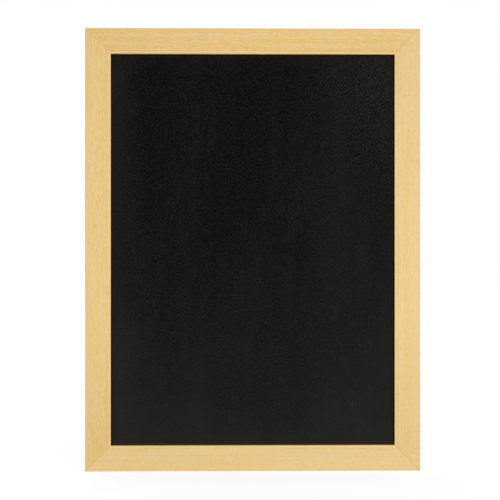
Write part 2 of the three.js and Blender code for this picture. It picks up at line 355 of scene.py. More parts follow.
class MouldingSizes(bpy.types.PropertyGroup):
    """Section of the frame's moulding and how its corners are dressed."""

    rebate: size_mm("Rebate", "Width of the rebate that the panel lies in", 6)
    bevel_width: size_mm("Bevel width", "Width of the shallow bevel along the sight edge", 1.2)
    bevel_depth: size_mm("Bevel depth", "How far that bevel falls back", 0.5)
    front_arris: size_mm("Front arris", "Radius of the outer front edge", 0.8)
    back_arris: size_mm("Back arris", "Radius of the outer back edge", 0.4)
    sharp_edge: size_mm("Planed edge", "Radius that sanding leaves on every other edge", 0.25)
    mitre_relief: size_mm("Mitre relief", "Rounding of the edges that meet in a mitre", 0.04)
    glue_line: size_mm("Glue line", "Thickness of the glue in a mitre", 0.03)
    # The paler band of this width beside the sight bevel is a painted highlight
    rubbed: size_mm("Rubbed edge", "Width of the paler face beside the sight bevel", 0.5)
    # The faint line at this distance from the bevel is painted shade, a dark shade line on the
    # bevel's shoulder
    shoulder: size_mm("Shoulder", "From the bevel out to the faint line on its shoulder", 0.9)
    shade_line_core: size_mm("Shoulder core", "Half width of that line where it is full", 0.3)
    shade_line_blur: size_mm("Shoulder blur", "Half width of that line with its soft edges", 1.1)
    joint_core: size_mm("Joint core", "Half width of the line along a mitre where it is full", 0.1)
    joint_blur: size_mm("Joint blur", "Half width of that line with its soft edges", 0.4)


class PanelSizes(bpy.types.PropertyGroup):
    """Writing panel."""

    edge: size_mm("Panel edge", "Rounding that the saw and sanding leave on the sheet", 0.3)
    tooth: size_mm("Tooth", "Grain of the chalk coat, coarse enough to show", 0.7)
    screen: size_mm("Screen mark", "Pitch of the mesh's mark on the back, coarse enough to show", 2)
    # The coat is browner within this rim, and most within the core below: painted warm bounce light
    # from the wooden lip
    rim: size_mm("Rim", "Width of the browner coat by the lip", 17)
    lip_bounce_core: size_mm("Thin rim", "Width of its thinnest and brownest part", 4.5)
    # Height of a lighter, warmer band along the bottom lip
    ledge_band: size_mm("Ledge dust", "Height of the dust that has settled on the ledge", 3)
    # The lip and side bands of the chalk dust layer are painted light: bounce light from the lip, and
    # lamp sheen by the right side
    lip_bounce_band: size_mm("Lip dust", "Width of the chalk dust along the lip", 14)
    left_bounce_band: size_mm("Left dust", "Width of the chalk dust by the left side", 42)
    right_sheen_band: size_mm("Right dust", "Width of the chalk dust by the right side", 110)
    right_full_sheen: size_mm("Full right dust", "How much of that width is evenly dusty", 45)


class FasteningSizes(bpy.types.PropertyGroup):
    """V-nails, panel tabs and hanger screws."""

    nail_sheet: size_mm("Nail strip", "Thickness of a V-nail's strip", 0.4)
    nail_leg: size_mm("Nail leg", "Straight length of each leg", 3.6)
    nail_bend: size_mm("Nail bend", "Radius at the back of the V", 0.5)
    nail_flare: size_mm("Nail flare", "Length of the turned-out tip of a leg", 0.9)
    nail_sunk: size_mm("Nail sunk", "How far a nail's back edge lies below the wood", 0.04)
    nail_edge: size_mm("Nail edge", "Rounding of a nail's edges", 0.08)
    slit: size_mm("Slit", "Room that a driven nail or tab leaves in the wood", 0.06)
    tab_point: size_mm("Tab point", "Length of a tab's tapered point", 2.4)
    tab_tip: size_mm("Tab tip", "Width of the blunt tip", 3)
    tab_corner: size_mm("Tab corner", "Radius of a tab's free corners", 1)
    tab_in_wood: size_mm("Tab in wood", "How far a tab is driven in", 6.5)
    tab_edge: size_mm("Tab edge", "Rounding of a tab's edges", 0.1)
    tab_straight: size_mm("Tab straight", "Run of a tab past the wood before it curls", 1.5)
    tab_curl: size_mm("Tab curl", "How far a tab's free end curls up", 0.4)
    thread_pitch: size_mm("Thread pitch", "Rise of the screw's thread in one turn", 1.2)
    thread_depth: size_mm("Thread depth", "Depth of the screw's thread", 0.42)
    shank: size_mm("Shank", "Diameter over the thread", 2.6)
    shank_fillet: size_mm("Shank fillet", "Rounding between the shank and the head", 0.1)
    head_edge: size_mm("Head edge", "Rounding of the head's lower edge", 0.12)
    head_rim: size_mm("Head rim", "Upright height of the pan head's rim", 0.9)
    head_height: size_mm("Head height", "Whole height of the pan head", 2.1)
    screw_point: size_mm("Screw point", "Length of the tapered point", 3)
    recess_span: size_mm("Recess span", "Width of the cross recess at its mouth", 3.4)
    recess_floor: size_mm("Recess floor", "Width of the cross recess at its floor", 1.7)
    recess_wing: size_mm("Recess wing", "Width of one wing of the cross", 0.8)
    recess_depth: size_mm("Recess depth", "Depth of the cross recess", 1.3)
    recess_draft: size_mm("Recess draft", "Run of the steep walls beside each wing", 0.08)


class HangerSizes(bpy.types.PropertyGroup):
    """Folded straps and D-rings."""

    sheet: size_mm("Strap sheet", "Thickness of the strip", 0.7)
    fold_gap: size_mm("Fold gap", "Gap between the two layers of the strap", 0.1)
    neck: size_mm("Neck", "Radius of the hollow neck below the eye", 1.2)
    strap_edge: size_mm("Strap edge", "Rounding of the strip's sheared edges", 0.14)
    screw_drop: size_mm("Screw drop", "From the eye down to the screw", 15.5)
    screw_room: size_mm("Screw room", "Gap between the screw and its hole in the strap", 0.4)
    wire: size_mm("Ring wire", "Diameter of the ring's wire", 1.8)
    ring_in_eye: size_mm("Ring in eye", "Gap between the wire and the eye", 0.3)
    ring_corner: size_mm("Ring corner", "Inside radius of the ring's corners", 0.8)
    ring_side: size_mm("Ring side", "Straight run of the ring's sides", 1.7)
    ring_butt: size_mm("Ring butt", "Gap where the wire's ends meet, inside the eye", 0.6)
    ring_cut: size_mm("Ring cut", "Rounding of the wire's cut ends", 0.3)
    ring_rest: size_mm("Ring rest", "Gap between the leaning ring and the wood", 0.3)


class FinishColours(bpy.types.PropertyGroup):
    """Colours of the finishes."""

    beech_pale: colour("Pale beech", "Early wood between the growth lines", "e6cb92")
    beech_warm: colour("Warm beech", "Late wood and broad stripes", "e6c37f")
    # Ray flecks and growth lines, and also the painted shade line on the sight bevel's shoulder
    beech_fleck_and_shade_line: colour("Ray fleck", "Short rays cut across by the plane", "e1b158")
    beech_pore: colour("Beech pore", "Fine open vessels", "c39a5c")
    # Painted highlight: the paler band beside the sight bevel
    beech_painted_highlight: colour("Rubbed beech", "Face where hands and cloth have rubbed its edge", "edd09a")
    mitre_line: colour("Mitre line", "Glue and end grain that show in the joint", "c6a870")
    coat: colour("Chalk coat", "Matt black coat", "070707")
    # Chalk-greyed tips of the tooth, which also carry the coat's broken sheen as painted speckle
    coat_grain_and_sheen: colour("Coat grain", "Tips of the coat's tooth, which chalk has greyed", "222423")
    # Painted glint: the tooth's tips grow lighter towards the top right corner
    coat_painted_glint: colour("Coat glint", "Tips of the tooth in the lighter top right corner", "393a34")
    # Chalk dust, and painted sheen and bounce light: lighter towards the bottom, the sides and the
    # lip
    coat_dust_and_sheen: colour("Chalk dust", "Coat under a film of dust", "2a2c2a")
    # Painted bounce light: warm light from the wooden lip, laid on the coat by the lip as a browner
    # tint
    coat_lip_bounce: colour("Coat edge", "Coat by the lip, where the brown board shows through", "251d13")
    # A lighter, warmer band along the panel's bottom lip
    coat_ledge: colour("Ledge dust", "Brownish dust that has settled along the bottom lip", "3e382e")
    chalk_mark: colour("Chalk mark", "A small wiped mark", "3a3f3d")
    hardboard: colour("Hardboard", "Pressed brown fibre", "a67d52")
    # Darker fibre where it drifts and varies, and painted shade in the mesh mark's hollows
    hardboard_dark_and_shade: colour("Hardboard shade", "Hollows of the pressed fibre", "76522f")
    hardboard_shive: colour("Shive", "Coarse dark slivers among the fibre", "4f351f")
    zinc: colour("Zinc", "Bright zinc plate", "c4c7c9")
    # Zinc dulled by wear, and the darker crystals of galvanised sheet, which are painted reflection
    zinc_dull_and_shaded: colour("Dull zinc", "Zinc where it has dulled", "9fa3a6")
    spring_steel: colour("Spring steel", "Bright hardened strip", "a9a9a6")
    nickel: colour("Nickel", "Nickel plate", "cdc8bf")


class StageSettings(bpy.types.PropertyGroup):
    """Camera, lamps and floor."""

    camera_distance: size_mm("Camera distance", "From the camera to the board's front", 1500)
    frame_span: size_mm("Frame span", "Width of the picture at the board's front", 451.7)
    camera_turn: bpy.props.FloatProperty(
        name="Camera turn", description="How far the camera stands round to the board's left",
        default=math.radians(1.18), subtype="ANGLE")
    aim_across: size_mm("Aim", "Where the camera aims, right of the board's middle", -2.74, -500)
    aim_up: size_mm("Aim height", "Where the camera aims, above the board's middle", -0.25, -500)
    key_power: light("Key lamp", "Power of each large soft lamp", 30.5, "POWER")
    low_power: light("Low lamp", "Power of the low front lamp", 1.1, "POWER")
    room_light: light("Room light", "Level of the even light from all round", 0.587, "NONE")


def chosen(group):
    """The sizes, colours or settings of one group, as the sidebar has them."""
    return getattr(bpy.context.scene, "chalkboard_" + group)


# Finishes

def add(tree, kind, given):
    """Adds a shader node and returns its outputs. Each given value is an option of the node, a
    value for one of its sockets, or a socket to link there.
    """
    node = tree.nodes.new("ShaderNode" + kind)
    for key, value in given.items():
        if isinstance(value, bpy.types.NodeSocket):
            tree.links.new(value, node.inputs[key])
        elif isinstance(key, int) or key in node.inputs:
            node.inputs[key].default_value = value
        else:
            setattr(node, key, value)
    return node.outputs


def new_finish(name):
    """An empty material, its node tree, and the object coordinates in it."""
    material = bpy.data.materials.new(name)
    material.use_nodes = True
    tree = material.node_tree
    tree.nodes.clear()
    return material, tree, add(tree, "TexCoord", {})["Object"]


def surface(tree, base, roughness, height, relief_mm, strength, metallic=0.0, specular=0.5):
    """Ends a material with its Principled shader. A height of 1 stands for the given millimetres,
    and tilts the shader's normal by its strength.
    """
    relief = {"Height": height, "Distance": relief_mm * MM, "Strength": strength}
    shader = {
        "Base Color": base, "Roughness": roughness, "Metallic": metallic,
        "Specular IOR Level": specular, "Normal": add(tree, "Bump", relief)["Normal"]}
    add(tree, "OutputMaterial", {"Surface": add(tree, "BsdfPrincipled", shader)["BSDF"]})


def cells(tree, place, cell_mm, octaves, distortion=0.0):
    """Noise with cells of one size, or of three sizes along X, Y and Z, in millimetres."""
    scale = 1 / (np.broadcast_to(cell_mm, 3) * MM)
    stretched = add(tree, "Mapping", {"Vector": place, "Scale": scale.tolist()})["Vector"]
    given = {"Vector": stretched, "Scale": 1.0, "Detail": octaves, "Distortion": distortion}
    return add(tree, "TexNoise", given)["Fac"]


def summed(tree, base, *terms):
    """A base plus terms, each a measure times its strength. Where a start and an end follow, the
    measure counts as a smooth step, which is 0 at the start and 1 at the end. The base and the
    strength are numbers or sockets.
    """
    for measure, strength, *span in terms:
        if span:
            given = {"interpolation_type": "SMOOTHSTEP", "From Min": span[0], "From Max": span[1]}
            measure = add(tree, "MapRange", {"Value": measure, **given})["Result"]
        given = {"operation": "MULTIPLY_ADD", 0: measure, 1: strength, 2: base}
        base = add(tree, "Math", given)["Value"]
    return base


def layered(tree, under, *layers):
    """A colour with others laid over it in turn, each by the sum of the terms that follow it."""
    for over, *terms in layers:
        given = {"data_type": "RGBA", "Factor": summed(tree, 0, *terms), 6: under, 7: over}
        under = add(tree, "Mix", given)[2]
    return under


def distances_in(tree, place, margin=0.0):
    """Distances in from the board's nearer side and from its nearer end: half its size less |x| or
    |z|, counted from a line that lies a margin inside its outer edges.
    """
    outermost = (HALF_WIDTH - margin, 0, HALF_HEIGHT - margin)
    middle = add(tree, "VectorMath", {"operation": "ABSOLUTE", 0: place})["Vector"]
    given = {"operation": "SUBTRACT", 0: outermost, 1: middle}
    axes = add(tree, "SeparateXYZ", {"Vector": add(tree, "VectorMath", given)["Vector"]})
    return axes["X"], axes["Z"]


def apart(tree, one, other):
    """How far two measures lie apart: |one - other|."""
    rest = add(tree, "Math", {"operation": "SUBTRACT", 0: one, 1: other})["Value"]
    return add(tree, "Math", {"operation": "ABSOLUTE", 0: rest})["Value"]


def reach(tree, place, centre, half_size_mm):
    """Distance from a centre, counted in half sizes given in millimetres along X, Y and Z."""
    scale = 1 / (np.broadcast_to(half_size_mm, 3) * MM)
    back = (-np.array(centre) * scale).tolist()
    near = add(tree, "Mapping", {"Vector": place, "Scale": scale.tolist(), "Location": back})
    return add(tree, "VectorMath", {"operation": "LENGTH", 0: near["Vector"]})["Value"]


def beech(cut, side):
    """Planed beech: pale wood with warm broad stripes, fine growth lines and the short orange rays
    that mark it. Clear satin lacquer leaves a soft sheen. A faint dark line on the shoulder of the
    sight bevel is painted shade, and a paler band beside it is a painted highlight along the sight
    edge. The bare back is drier and rougher. The distance to a mitre is the difference of those to
    the side and to the end, over root 2.
    """
    sizes = chosen("moulding")
    tints = chosen("finishes")
    material, tree, place = new_finish(f"{cut}_{side}")
    lightness, saturation, roughness = CUTS[cut]
    tone, figure = SIDES[side]["tone"], SIDES[side]["figure"]
    stripes, flecks = figure["stripes"], figure["flecks"]
    order = list(SIDES).index(side)
    quarter = 0 if side in HANDS else math.pi / 2
    stick = {"Rotation": (0, quarter, 0), "Location": [order * step for step in NEXT_STICK]}
    grain = add(tree, "Mapping", {"Vector": place, **stick})["Vector"]
    leaning = {"Vector": grain, "Rotation": (0, math.radians(figure["run_out"]), 0)}
    slanted = add(tree, "Mapping", leaning)["Vector"]
    shares = {}
    for mark, (cell_mm, octaves, span) in GRAIN.items():
        lies = slanted if "rays" in mark else grain
        bent = 0 if mark == "pores" else figure["wander"]
        shares[mark] = summed(tree, 0, (cells(tree, lies, cell_mm, octaves, bent), 1, *span))
    lines, pores = shares["lines"], shares["pores"]
    from_side, from_end = distances_in(tree, place)
    from_edge = from_side if side in HANDS else from_end
    bevel = FACE_WIDTH - sizes.bevel_width
    past_shade_line = apart(tree, from_edge, bevel - sizes.shoulder)
    to_mitre = apart(tree, from_side, from_end)
    slack = joint_slack(tree, place, from_edge)
    joint_blur, joint_core = (math.sqrt(2) * width for width in (sizes.joint_blur, sizes.joint_core))
    wood = layered(
        tree, tints.beech_pale,
        (tints.beech_warm, (shares["stripes"], stripes)),
        (tints.beech_fleck_and_shade_line, (lines, 0.17 + 0.18 * stripes)),
        (tints.beech_fleck_and_shade_line, (shares["rays"], 1.1 * flecks)),
        (tints.beech_fleck_and_shade_line, (shares["short_rays"], 0.8 * flecks)),
        (tints.beech_pore, (pores, 0.2)),
        (tints.mitre_line, (to_mitre, slack, joint_blur, joint_core)),
        # Painted shade: a faint dark line on the sight bevel's shoulder
        (tints.beech_fleck_and_shade_line, (past_shade_line, 0.17, sizes.shade_line_blur, sizes.shade_line_core)),
        # Painted highlight: a paler band beside the sight bevel
        (tints.beech_painted_highlight, (from_edge, 0.45, bevel - sizes.rubbed, bevel)))
    given = {"Color": wood, "Value": tone[0] * lightness, "Saturation": tone[1] * saturation}
    toned = add(tree, "HueSaturation", given)["Color"]
    dryness = summed(tree, roughness - 0.04, (lines, 0.1, 0, 1))
    sunk = summed(tree, lines, (pores, -1))
    surface(tree, toned, dryness, sunk, 0.06 * roughness, 0.5, specular=0.3)
    return material


def joint_slack(tree, place, from_edge):
    """How plainly a mitre shows: more towards the panel, and more by x less z, because the joint
    at the bottom right has opened most.
    """
    lowness = add(tree, "VectorMath", {"operation": "DOT_PRODUCT", 0: place, 1: (1, 0, -1)})
    opened = summed(tree, 0.6, (lowness["Value"], 1.4, HALF_HEIGHT / 2, HALF_WIDTH + HALF_HEIGHT))
    shown = summed(tree, 0.15, (from_edge, 0.35, 0.2 * FACE_WIDTH, FACE_WIDTH))
    return summed(tree, 0, (opened, shown))


def chalk_coat():
    """Sprayed matt black chalkboard coat: near black, with a fine tooth whose chalk-greyed tips also
    carry its low sheen as a painted speckle, and a painted glint on those tips towards the top right
    corner. A film of chalk dust lies on it, lighter towards the bottom, the sides and the lip, partly
    as painted sheen and bounce light. By the lip the coat is browner as painted warm light bounced
    from the wood, and a lighter, warmer band runs along the ledge at the bottom.
    """
    sizes = chosen("panel")
    tints = chosen("finishes")
    material, tree, place = new_finish("sprayed_chalk_coat")
    tooth = cells(tree, place, sizes.tooth / MM, 1, 1.2)
    corner = (HALF_WIDTH - FACE_WIDTH, PANEL_FRONT, HALF_HEIGHT - FACE_WIDTH)
    to_glint_corner = reach(tree, place, corner, GLINT_REACH_MM)
    # Painted glint: the tips lighten towards the top right corner
    tips = layered(tree, tints.coat_grain_and_sheen, (tints.coat_painted_glint, (to_glint_corner, 1, 1, 0.05)))
    to_side, to_end = distances_in(tree, place, FACE_WIDTH)
    to_lip = add(tree, "Math", {"operation": "MINIMUM", 0: to_side, 1: to_end})["Value"]
    height = add(tree, "SeparateXYZ", {"Vector": place})["Z"]
    ledge = FACE_WIDTH - HALF_HEIGHT
    patchy = summed(tree, 0.7, (tooth, 0.6, 0.3, 0.7))
    coat = layered(
        tree, tints.coat,
        # Speckle of the tooth's tips: chalk grey, partly painted sheen
        (tips, (tooth, 1, 0.47, 0.7)),
        # Chalk dust, partly painted sheen and bounce light: lighter towards the bottom, the sides and
        # the lip
        (tints.coat_dust_and_sheen, (dust_and_sheen_share(tree, place, to_lip), patchy)),
        # Painted bounce light from the wooden lip, browner near it
        (tints.coat_lip_bounce, (to_lip, 0.17, sizes.rim, 0), (to_lip, 0.38, sizes.lip_bounce_core, 0)),
        # Lighter and warmer along the ledge at the bottom
        (tints.coat_ledge, (height, 0.5, ledge + sizes.ledge_band, ledge)),
        (tints.chalk_mark, (chalk_marks(tree, place), 1)))
    dryness = summed(tree, 0.5, (tooth, 0.14, 0.3, 0.7))
    surface(tree, coat, dryness, tooth, 0.03, 0.6, specular=0.015)
    return material


def dust_and_sheen_share(tree, place, to_lip):
    """Share of chalk dust and painted sheen: a power of the way down the panel, painted reflection of
    the floor and the low lamp, which a round wipe has thinned; soft bands by both sides and by the
    lip, painted lamp sheen on the right and painted bounce light on the left and along the lip; and
    upright wipes, all thicker and thinner in slow clouds.
    """
    sizes = chosen("panel")
    side = HALF_WIDTH - FACE_WIDTH
    axes = add(tree, "SeparateXYZ", {"Vector": place})
    down = {"Value": axes["Z"], "From Min": 0.6 * HALF_HEIGHT, "From Max": -0.9 * HALF_HEIGHT}
    share_down = add(tree, "MapRange", down)["Result"]
    lower_dust_and_sheen = add(tree, "Math", {"operation": "POWER", 0: share_down, 1: 2.5})["Value"]
    round_wipe = reach(tree, place, WIPE_CENTRE, WIPE_REACH_MM)
    left_on = summed(tree, 0.49, (round_wipe, 0.09, 0.97, 1.02))
    wipes = cells(tree, place, (24, 24, 120), 2, 0.4)
    dust = summed(
        tree, -0.02,
        # Lighter towards the bottom: painted reflection of the floor and the low lamp, with chalk
        # dust
        (lower_dust_and_sheen, left_on),
        # Bands: painted lamp sheen by the right side, painted bounce light from the lip by the left
        # side and along the lip
        (axes["X"], 0.11, side - sizes.right_sheen_band, side - sizes.right_full_sheen),
        (axes["X"], 0.17, sizes.left_bounce_band - side, -side),
        (to_lip, 0.08, sizes.lip_bounce_band, 0),
        (wipes, 0.1, 0.3, 0.7))
    clouds = summed(tree, 0.85, (cells(tree, place, (70, 70, 55), 2), 0.3, 0.2, 0.8))
    return summed(tree, 0, (dust, clouds))


def chalk_marks(tree, place):
    """Share of the two small wiped chalk marks, by the reach from each: the greater of both."""
    shares = [
        summed(tree, 0, (reach(tree, place, centre, half_size_mm), strength, 1.3, 0.3))
        for centre, half_size_mm, strength in CHALK_MARKS]
    return add(tree, "Math", {"operation": "MAXIMUM", 0: shares[0], 1: shares[1]})["Value"]


def hardboard():
    """Wet-pressed hardboard: brown matted fibre with a few dark shives, its tone drifting over some
    centimetres, and the mark of the mesh that it was pressed on, whose hollows are darkened as
    painted shade.
    """
    tints = chosen("finishes")
    material, tree, place = new_finish("pressed_hardboard")
    pitch = chosen("panel").screen
    wave = {"Vector": place, "Scale": math.tau / WAVE_TURN / pitch, "Distortion": 0.3}
    wires = [add(tree, "TexWave", {"bands_direction": axis, **wave})["Fac"] for axis in ("X", "Z")]
    mesh_mark = summed(tree, 0, wires)
    fibre = cells(tree, place, 0.9, 5, 1.5)
    drift = cells(tree, place, 90, 2)
    shives = cells(tree, place, 2.8, 2, 2.5)
    pressed = layered(
        tree, tints.hardboard,
        (tints.hardboard_dark_and_shade, (fibre, 0.6, 0.3, 0.7), (drift, 0.16, 0.3, 0.7)),
        (tints.hardboard_shive, (shives, 0.75, 0.62, 0.7)),
        # Painted shade: the mesh mark's hollows, which the bump sinks, are also darkened
        (tints.hardboard_dark_and_shade, (mesh_mark, 0.5)))
    surface(tree, pressed, 0.75, summed(tree, fibre, (mesh_mark, -1)), 0.16, 0.8, specular=0.25)
    return material


def plated_steel(name):
    """Plated or bright steel: a cool metal whose tone drifts in patches, with fine scratches that
    change how sharply it mirrors the room.
    """
    tints = chosen("finishes")
    material, tree, place = new_finish(name)
    tint, roughness, patch_mm, scratch_mm = PLATED[name]
    patches = cells(tree, place, patch_mm, 3, 0.4)
    scratches = summed(tree, 0, (cells(tree, place, scratch_mm, 3), 1, 0.45, 0.75))
    worn = summed(tree, 0, (patches, 0.6, 0.35, 0.7), (scratches, 0.35))
    plate = layered(tree, getattr(tints, tint), (tints.zinc_dull_and_shaded, (worn, 1)))
    blur = summed(tree, roughness - 0.07, (worn, 0.2, 0, 1))
    surface(tree, plate, blur, scratches, 0.008, 0.4, metallic=1.0)
    return material


def galvanised_steel():
    """Galvanised sheet: dull zinc whose crystals, a millimetre or so across, each catch the light a
    little differently, which is painted into their colour as lighter and darker crystals, with random
    specks.
    """
    tints = chosen("finishes")
    material, tree, place = new_finish("galvanised_sheet")
    crystals = add(tree, "TexVoronoi", {"Vector": place, "Scale": 1 / CRYSTAL})["Color"]
    tone = add(tree, "SeparateColor", {"Color": crystals})["Red"]
    specks = cells(tree, place, 0.3, 2)
    # Painted reflection: each crystal is lighter or darker as it would catch the light, with random
    # specks
    dulled = summed(tree, 0, (tone, 0.6), (specks, 0.3))
    coat = layered(tree, tints.zinc, (tints.zinc_dull_and_shaded, (dulled, 1)))
    blur = summed(tree, 0.32, (dulled, 0.2, 0, 1))
    surface(tree, coat, blur, specks, 0.01, 0.4, metallic=1.0)
    return material


# Frame and panel

def soft_sections(half_width, half_height, radius, steps=3):
    """Rectangles about the origin with round corners: a quarter arc about a centre that lies in
    from each corner by the radius. The half sizes may be arrays, with a rectangle for each.
    """
    quarter = np.linspace(0, 90, steps + 1)
    angle = np.radians(np.concatenate([quarter + turn for turn in (180, 270, 0, 90)]))
    sign = np.repeat(CORNER_SIGNS, steps + 1, axis=0)
    half = np.stack(np.broadcast_arrays(half_width, half_height), axis=-1)
    corner = radius * np.stack([np.cos(angle), np.sin(angle)], axis=1)
    return (half[..., None, :] - radius) * sign + corner


def member_place(side, inward, deep, along):
    """Member coordinates set in the board: from the member's first outer corner, a distance in
    from the outer edge, a depth and a distance along.
    """
    facts = SIDES[side]
    corner = ACROSS * facts["corner"][0] * HALF_WIDTH + UP * facts["corner"][1] * HALF_HEIGHT
    inward, deep, along = (np.asarray(value, float)[..., None] for value in (inward, deep, along))
    return corner + inward * facts["inward"] + deep * DEEP + along * facts["along"]


def member_length(side):
    """Length of a member along its outer edge."""
    return 2 * (HALF_HEIGHT if side in HANDS else HALF_WIDTH)


def moulding_section():
    """The moulding, anticlockwise: distance from the outer edge, and depth. Every edge is eased."""
    sizes = chosen("moulding")
    land = FACE_WIDTH - sizes.rebate
    corners = [
        (0, 0), (0, -FRAME_DEPTH), (FACE_WIDTH - sizes.bevel_width, -FRAME_DEPTH),
        (FACE_WIDTH, sizes.bevel_depth - FRAME_DEPTH), (FACE_WIDTH, PANEL_FRONT), (land, PANEL_FRONT),
        (land, 0)]
    fine = sizes.sharp_edge
    return rounded(corners, [sizes.back_arris, sizes.front_arris, fine, fine, fine, fine, fine])


def member_skin(side):
    """The section carried from mitre to mitre. At each end it is drawn back by its distance from
    the outer edge, and the last ring is inset, so that the joint's edges are softly rounded.
    """
    sizes = chosen("moulding")
    section = moulding_section()
    relief = sizes.mitre_relief
    half_glue = sizes.glue_line / math.sqrt(2)
    near = []
    for drawn_in, back in ((1, 0), (0.3, 0.4), (0, 1)):
        outline = inset(section, relief * drawn_in)
        near.append((outline, outline[:, 0] + half_glue + back * relief * math.sqrt(2)))
    far = [(outline, member_length(side) - along) for outline, along in reversed(near)]
    rings = [member_place(side, outline[:, 0], outline[:, 1], along) for outline, along in near + far]
    return skin(np.stack(rings))


def nail_setback(number):
    """How far the back of a V-nail lies from both outer edges of its corner."""
    sheet = chosen("fastening").nail_sheet
    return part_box(f"v_nail_bottom_left_{number}")[1].x + HALF_WIDTH - sheet / 2


def nail_skin(corner, number, spare=0.0):
    """A strip bent to a V with turned-out tips, carried on edge: two legs at a right angle, the
    back of the V towards the board's middle. Its leading edge is ground sharp. With spare it is
    the slit that the nail leaves.
    """
    sizes = chosen("fastening")
    side = CORNERS[corner]
    bend = sizes.nail_bend
    leg = bend + sizes.nail_leg
    flare = (sizes.nail_flare + spare) / math.sqrt(2)
    corners = [(-leg - flare, flare), (-leg, 0), (0, 0), (0, -leg), (flare, -leg - flare)]
    line = rounded(corners, [0, bend, bend, bend, 0], closed=False)
    along = headings(line)
    setback = nail_setback(number)
    half = sizes.nail_sheet / 2 + spare
    tip = nail_low.y - spare
    ground = tip + 2 * sizes.nail_sheet
    top = PAST_FACE if spare else -sizes.nail_sunk
    edge = 0 if spare else sizes.nail_edge
    outline = [(-half, top), (-half, ground), (0, tip), (half, ground), (half, top)]
    section = rounded(outline, [edge, edge, 0, edge, edge], steps=3)
    points = member_place(side, line[:, 0] + setback, 0, line[:, 1] + setback)
    facts = SIDES[side]
    sideways = -along[:, 1:] * facts["inward"] + along[:, :1] * facts["along"]
    return swept(points, section, sideways, DEEP)


def tab_skin(side, number, spare=0.0):
    """A flat tab carried from its blunt point in the wood to its free end. The half width rises in
    a straight taper, stays, and ends in quarter circles. The free end curls up a little, as it
    does once it has been bent down over the panel. With spare it is the slit in the wood.
    """
    sizes = chosen("fastening")
    low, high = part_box(f"panel_tab_{side}_{number}")
    start = tab_low.x + HALF_WIDTH - spare
    end = tab_high.x + HALF_WIDTH
    half = (tab_high.z - tab_low.z) / 2 + spare
    corner = sizes.tab_corner
    taper_end = start + sizes.tab_point
    turn = np.radians(np.linspace(0, 82, 8))
    straight = np.linspace(taper_end, end - corner, 14)
    inward = np.concatenate([[start], straight[:-1], end - corner + corner * np.sin(turn)])
    width = np.interp(inward, [start, taper_end], [sizes.tab_tip / 2 + spare, half])
    past = np.clip((inward - end + corner) / corner, 0, 1)
    width = width - corner * (1 - np.sqrt(1 - past ** 2))
    flat_end = start + spare + sizes.tab_in_wood + sizes.tab_straight
    rise = np.clip((inward - flat_end) / (end - flat_end), 0, 1)
    curl = 0 if spare else sizes.tab_curl
    middle = (tab_low.y + tab_high.y) / 2 + curl * rise ** 2 * (3 - 2 * rise)
    thick = (tab_high.y - tab_low.y) / 2 + spare
    offset = np.array(low + high) / 2 - member_place(side, 0, 0, 0)
    points = member_place(side, inward, middle, offset @ SIDES[side]["along"])
    section = soft_sections(width, thick, sizes.slit / 2 if spare else sizes.tab_edge)
    return swept(points, section, SIDES[side]["along"], DEEP)


def on_hanger(hand, height, depth=0.0):
    """A point on the middle line of a hanger, at a height and a depth."""
    return ACROSS * HANDS[hand] * -EYE.x + DEEP * depth + UP * height


def hole_skin(hand, radius, steps, depths):
    """The round hole of a hanger screw, from one depth to another."""
    around = arc((0, 0), radius, 0, 360, steps)[:-1]
    middles = [on_hanger(hand, screw_height(), depth) for depth in depths]
    return skin(np.stack([in_plane(around, middle, ACROSS, UP) for middle in middles]))


def screw_height():
    """Height of the hanger screws, below the eyes that hold the rings."""
    return EYE.z - chosen("hangers").screw_drop


def nodes_of(kind):
    """Numbers and names of the nodes of a kind, such as the tabs of one side, by the frame."""
    names = [name for name in sorted(frame["nodes"]) if name.startswith(kind + "_")]
    return [(int(name[len(kind) + 1:]), name) for name in names]


def cut_faces(piece, side):
    """The place in CUTS of each face of a member, by where it looks: the back, the lip's back and the
    rebate's wall are bare, and the lip's bevel and inner wall have cuts of their own, whose lighter
    tones are a painted highlight on the bevel and painted light on the shaded inner wall. A face
    looks a way where more than half of its normal does, and the shallow bevel leans in by less.
    """
    count = len(piece.data.polygons)
    centre, normal = np.empty(count * 3), np.empty(count * 3)
    piece.data.polygons.foreach_get("center", centre)
    piece.data.polygons.foreach_get("normal", normal)
    depth = centre.reshape(-1, 3)[:, 1]
    normal = normal.reshape(-1, 3)
    looks_back = normal[:, 1]
    looks_in = normal @ SIDES[side]["inward"]
    is_lip = depth < PANEL_FRONT
    is_bare = (looks_back > 0.5) | ((looks_in > 0.5) & ~is_lip)
    is_bevel = (looks_in > 0.15) & is_lip & (looks_back < -0.7)
    is_wall = (looks_in > 0.5) & is_lip & ~is_bevel
    names = list(CUTS)
    index = np.select(
        [is_bare, is_bevel, is_wall],
        [names.index("planed_beech"), names.index("sanded_beech"), names.index("routed_beech")])
    return index.astype(np.int32)


def board_slab(low, high, edge):
    """A sheet with rounded edges: its rectangle, inset by edge (1 - cos) while the depth runs in
    by edge (1 - sin), at the front and the same again at the back. Its corners are rounded a
    little more than its edges.
    """
    half = np.array([high.x - low.x, high.z - low.z]) / 2
    outline = soft_sections(half[0], half[1], edge * 1.5, 5)
    turn = np.radians(np.linspace(90, 0, 6))
    drawn_in = edge * (1 - np.cos(turn))
    run = edge * (1 - np.sin(turn))
    middle = (np.array(low) + np.array(high)) / 2 * [1, 0, 1]
    outlines = [inset(outline, distance) for distance in drawn_in]
    outlines += outlines[::-1]
    depths = np.concatenate([low.y + run, high.y - run[::-1]])
    rings = [in_plane(ring, middle + DEEP * deep, ACROSS, UP) for ring, deep in zip(outlines, depths)]
    return skin(np.stack(rings))


# Hangers

